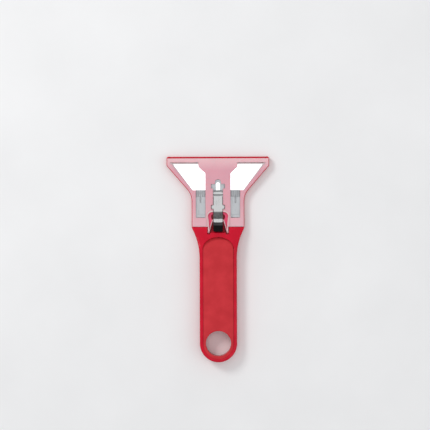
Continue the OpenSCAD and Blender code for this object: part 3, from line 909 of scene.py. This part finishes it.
def add_pin(bm, x0, x1, radius):
    """A round pin along X at the hinge, with its outer edge chamfered."""
    z_pin = Z_COVER + 0.6
    chamfer = PIN_CHAMFER * (1 if x1 > x0 else -1)
    turns = [math.radians(360 / PIN_SIDES * k) for k in range(PIN_SIDES)]
    rings = []
    for x, r in ((x0, radius), (x1 - chamfer, radius), (x1, radius - PIN_CHAMFER)):
        places = [(x, Y_HINGE + r * math.cos(g), z_pin + r * math.sin(g)) for g in turns]
        rings.append([bm.verts.new([c * MM for c in place]) for place in places])
    for low, high in zip(rings, rings[1:]):
        for k in range(PIN_SIDES):
            bm.faces.new((low[k], low[k - 1], high[k - 1], high[k]))
    bm.faces.new(rings[0])
    bm.faces.new(rings[-1])
    bmesh.ops.recalc_face_normals(bm, faces=bm.faces)


def make_webs():
    """The thin webs between the legs' ribs and beside the strip, through which the red shows."""
    y_thumb = Y_COVER_REAR + 9.75
    webs = both_sides(
        [
            (5.8, Y_HINGE + 1, 0),
            (6.4, Y_HINGE + 1, 0),
            (6.75, Y_COVER_REAR, 0),
            (6.75, y_thumb, 3),
            (3.4, y_thumb, 0),
            (3.4, Y_COVER_REAR + 8.3, 0.3),
            (4.5, Y_COVER_REAR + 7.6, 0.5),
            (4.5, Y_COVER_REAR + 5.6, 0.5),
            (3.5, Y_LEG, 0),
        ]
    )
    top = [(w, Z_COVER + 0.7) for w in webs]
    bottom = [(w, Z_COVER + 0.1) for w in webs]
    return solid(top, bottom, Z_COVER + 0.4, soft=0.1, rim=0.1)


# Carriage
def make_blade():
    """The trapezoid blade: ground on both sides along the edge, with two notches in its back."""
    back = NECK_W / 2 - 0.5
    front = HEAD_W / 2 - 2.85
    bevel = 1.9
    edge_half_t = 0.05
    middle = Z_BLADE + BLADE_T / 2
    at_bevel = front - (front - back) * bevel / (Y_EDGE - Y_BACK)
    y_bevel = Y_EDGE - bevel
    plan = [(-back, Y_BACK), (back, Y_BACK), (front, Y_EDGE), (-front, Y_EDGE)]
    ground = [(-at_bevel, y_bevel), (at_bevel, y_bevel), (front, Y_EDGE), (-front, Y_EDGE)]
    notch_x = 4.5
    half_w = 1.5
    y_notch = Y_BACK + 2.6
    notches = [
        (rectangle(x - half_w, x + half_w, Y_BACK - 1, y_notch), None) for x in (-notch_x, notch_x)
    ]

    def half(y):
        return BLADE_T / 2 - (BLADE_T / 2 - edge_half_t) * (y - Y_EDGE + bevel) / bevel

    top = [(plan, Z_CLIP), (ground, lambda x, y: middle + half(y), 1), *notches]
    bottom = [(plan, Z_BLADE), (ground, lambda x, y: middle - half(y), 1), *notches]
    return solid(top, bottom, middle, soft=0.04, rim=0.04)


def make_plate():
    """The pressed carriage: on each side a leg with a hem and a rib, and a pad with grooves."""
    y_rear = PLATE_LOW.y
    wide = PLATE_HIGH.x
    leg_x = 7.0
    pad_x = 7.2
    hem_l = 1.9
    z_hem = Z_BLADE + 0.5
    z_pad = Z_BLADE + 0.2
    grooves = 5
    groove_w = 0.6
    groove_pitch = 1.4
    sheet = rounded(across(wide, y_rear, PLATE_HIGH.y, low_r=0.4, high_r=1))
    gap = (rounded(across(leg_x, y_rear - 1, Y_BRIDGE, high_r=1)), None)

    def on_side(side, x0, x1, y0, y1, r):
        x0, x1 = sorted((side * x0, side * x1))
        return rounded([(x0, y0, r), (x1, y0, r), (x1, y1, r), (x0, y1, r)])

    top = [(sheet, Z_BLADE)]
    for side in (1, -1):
        top.append((on_side(side, leg_x, wide, y_rear, y_rear + hem_l, r=0.2), z_hem))
        top.append((on_side(side, pad_x, wide - 0.2, Y_BRIDGE, Y_STEP, r=0.3), z_pad))
        # The grooves and the small rib take the second, lighter steel: painted light against the shade
        # there
        for k in range(grooves):
            x = pad_x + 1.1 + groove_pitch * k
            groove = on_side(side, x, x + groove_w, Y_BRIDGE + 0.5, Y_STEP - 0.3, r=0.2)
            top.append((groove, Z_BLADE, 1))
        top.append((on_side(side, 11.2, 11.8, Y_BRIDGE - 4, Y_BRIDGE - 0.4, r=0.29), z_pad, 1))
    top.append(gap)
    bottom = [(sheet, Z_PLATE), gap]
    grid = points_of(np.arange(y_rear + 2.6, Y_BACK, 1.3), np.arange(-13.7, 14, 1.37))
    return solid(top, bottom, Z_PLATE + PLATE_T / 2, soft=0.15, rim=0.1, grid=grid)


def wire(corners):
    """The height of a rounded line of corners (y, z, radius) as a function of y."""
    ends = [(corners[-1][0], -FAR, 0), (corners[0][0], -FAR, 0)]
    return line_height(sorted(p for p in rounded(corners + ends) if p[1] > -FAR))


def bent(bm, line):
    """Bends a flat strip along Y so that its underside follows the line."""
    near = 0.05
    for vert in bm.verts:
        y, rise = vert.co.y / MM, vert.co.z / MM
        slope = float(line(y + near) - line(y - near)) / (2 * near)
        length = math.hypot(1, slope)
        vert.co.y = (y - rise * slope / length) * MM
        vert.co.z = (float(line(y)) + rise / length) * MM
    return bm


def make_spring():
    """The leaf spring: clip over the blade, riveted foot, strip with its lock ears, bend and tab."""
    # Distance of the points, fine enough for the bends
    dense = 0.3
    tab_x = 2.1
    strip_x = 3
    ear_x = 4.35
    ear_half_l = 1.25
    clip_x = 4.7
    foot_x = 6.2
    hole_r = 1.35
    y_tip = CLIP_HIGH.y
    y_hole = y_tip - 3.4
    y_button = BUTTON_HIGH.y
    strip = [
        rectangle(-tab_x, tab_x, LEVER_LOW.y, y_button + 0.4),
        rounded(across(strip_x, y_button + 0.05, Y_ROOT + 1, low_r=0.3)),
        rounded(across(ear_x, Y_EAR - ear_half_l, Y_EAR + ear_half_l, low_r=0.4, high_r=0.4)),
    ]
    clip = rounded(across(clip_x, Y_ROOT + 1, y_tip, high_r=1.2))
    foot = rounded(across(foot_x, Y_ROOT, Y_STEP, low_r=0.6, high_r=0.6))
    # The slope up to the bend takes the second, darker steel: painted shade for the dark that the steep
    # slope reflects
    slope = rectangle(-strip_x, strip_x, Y_BEND_TOP + 0.1, Y_BEND + 0.6)
    regions = [(fine(loop, dense), SPRING_T) for loop in strip]
    regions += [
        (fine(clip, dense), SPRING_T, 2),
        (fine(foot, dense), SPRING_T),
        (fine(slope, dense), SPRING_T, 1),
        (fine(rectangle(-hole_r, hole_r, Y_STEP, y_hole), dense), None),
        (circle(0, y_hole, hole_r, 36), None),
    ]
    under = [(loop, h if h is None else 0, *tone) for loop, h, *tone in regions]
    rows = np.arange(LEVER_LOW.y + 0.2, y_tip, dense)
    grid = points_of(rows, (-2.5, -1.5, -0.5, 0.5, 1.5, 2.5))
    flat = solid(regions, under, SPRING_T / 2, soft=0.08, rim=0.08, grid=grid)
    step_r = 0.6
    z_tab = Z_CLIP + 2.15
    line = wire(
        [
            (y_tip + 1, Z_CLIP, 0),
            (Y_STEP, Z_CLIP, step_r),
            (Y_STEP - STEP_L, Z_BLADE, step_r),
            (Y_ROOT + 2 * STEP_L, Z_BLADE, step_r),
            (Y_ROOT + STEP_L, Z_CLIP, step_r),
            (Y_BEND, Z_CLIP, 1.7),
            (Y_BEND_TOP, z_tab, 1.2),
            (LEVER_LOW.y - 1, z_tab, 0),
        ]
    )
    return bent(flat, line)


def make_rivets():
    """The heads of the two rivets in the middle of the spring's foot."""
    head_r = 1.05
    head_h = 0.35
    x_rivet = 4.9
    y_rivet = (Y_STEP - STEP_L + Y_ROOT + 2 * STEP_L) / 2
    z_foot = Z_BLADE + SPRING_T
    heads = [circle(x, y_rivet, head_r, 36) for x in (-x_rivet, x_rivet)]
    top = [(head, z_foot + head_h) for head in heads]
    bottom = [(head, z_foot - 0.05) for head in heads]
    return solid(top, bottom, z_foot, soft=0.3, rim=0.3, under_rim=0.02)


def make_button():
    """The thumb button: a slope in front and three grooves across."""
    half_w = BUTTON_HIGH.x
    y_rear, y_front = BUTTON_LOW.y, BUTTON_HIGH.y
    z_low, z_top = BUTTON_LOW.z, BUTTON_HIGH.z
    corner_r = 0.6
    slope_l = 1.9
    slope_h = 1.7
    groove_h = 0.35
    groove_half_w = 0.25
    y_flat = y_front - slope_l
    plan = rounded(across(half_w, y_rear, y_front, corner_r, corner_r), step=10)
    pitch = (y_flat - y_rear) / 4
    middles = [y_rear + k * pitch for k in (1, 2, 3)]
    grooves = [rectangle(-half_w, half_w, y - groove_half_w, y + groove_half_w) for y in middles]
    slope = between_rows(plan, y_flat, y_front)
    # The front slope takes the second, grey plastic: painted light for the light that the slope
    # reflects
    top = [(plan, z_top), (slope, lambda x, y: z_top - slope_h * (y - y_flat) / slope_l, 1)]
    top += [(groove, z_top - groove_h) for groove in grooves]
    return solid(top, [(plan, z_low)], z_low + 1, soft=0.12, rim=0.35, under_rim=0.2)


# Pieces
shown("handle", make_handle(), "red_plastic", "handle", "handle_body")
shown("cover", make_cover(), "pink_cover cover_ledge", "cover", "head_cover")
webs = shown("cover_webs", make_webs(), "thin_cover", "cover")
shown("grip_front", make_front_grip(), "red_grip", "handle", "grip_pad_front")
shown("grip_back", make_back_grip(), "red_grip", "handle", "grip_pad_back")
shown("trapezoid_blade", make_blade(), "blade_steel ground_steel", "carriage", "blade")
shown("carriage_plate", make_plate(), "sheet_steel dark_sheet", "carriage", "carrier_plate")
shown("rivet_heads", make_rivets(), "rivet_steel", "carriage", "clip_rivets")
shown("button", make_button(), "black_plastic worn_plastic", "lever", "thumb_button")
spring_slots = "spring_steel dark_spring sheet_steel"
spring = shown("leaf_spring", make_spring(), spring_slots, None, "blade_clip", "lock_lever")
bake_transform(spring)


# Studio
def make_floor():
    bm = bmesh.new()
    bmesh.ops.create_grid(bm, x_segments=1, y_segments=1, size=1.5)
    mesh = bpy.data.meshes.new("floor")
    bm.to_mesh(mesh)
    bm.free()
    s = Shader("floor_paper")
    tones = [(0.3, (0.86, 0.86, 0.86)), (0.7, (0.9, 0.9, 0.9))]
    s.set({"Base Color": s.colours(s.noise(60 * MM), tones), "Roughness": 0.7})
    mesh.materials.append(s.material)
    floor = bpy.data.objects.new("floor", mesh)
    floor.location.z = -0.05 * MM
    bpy.context.scene.collection.objects.link(floor)


def softbox(name, place, size, power):
    """A square lamp that looks at the scraper."""
    data = bpy.data.lights.new(name, "AREA")
    data.shape = "SQUARE"
    data.size = size
    data.energy = power
    made = bpy.data.objects.new(name, data)
    made.location = place
    made.rotation_euler = (-Vector(place)).to_track_quat("-Z", "Y").to_euler()
    bpy.context.scene.collection.objects.link(made)


# The photograph looks straight down. Its picture is 430 points wide, at this many metres each
POINT = 0.655 * MM
PICTURE = 430
LENS = 150
SENSOR = 36
# How far the scraper leans in the picture
LEAN = math.radians(-0.2)
# Before the lean, the mouth lies in this row of the picture, with its middle in this column
MOUTH_ROW = 156.5
MOUTH_COLUMN = 218.05


def make_camera():
    data = bpy.data.cameras.new("camera")
    data.lens = LENS
    data.sensor_width = SENSOR
    camera = bpy.data.objects.new("camera", data)
    distance = POINT * PICTURE * LENS / SENSOR
    x = (PICTURE / 2 - MOUTH_COLUMN) * POINT
    y = Y_MOUTH * MM - (PICTURE / 2 - MOUTH_ROW) * POINT
    camera.location = (x, y, Z_LID * MM + distance)
    camera.rotation_euler = (0, 0, LEAN)
    bpy.context.scene.collection.objects.link(camera)
    bpy.context.scene.camera = camera


def make_world():
    world = bpy.data.worlds.new("studio")
    world.use_nodes = True
    background = world.node_tree.nodes["Background"]
    background.inputs["Color"].default_value = (0.97, 0.98, 1.0, 1)
    background.inputs["Strength"].default_value = 0.55
    bpy.context.scene.world = world


make_floor()
make_camera()
make_world()
softbox("key", place=(-0.55, 0.5, 0.75), size=0.3, power=3.5)
softbox("fill", place=(0.7, -0.2, 0.6), size=0.6, power=0.9)
softbox("overhead", place=(0, 0.1, 1.5), size=1.0, power=3.3)
bpy.context.scene.view_settings.view_transform = "Standard"
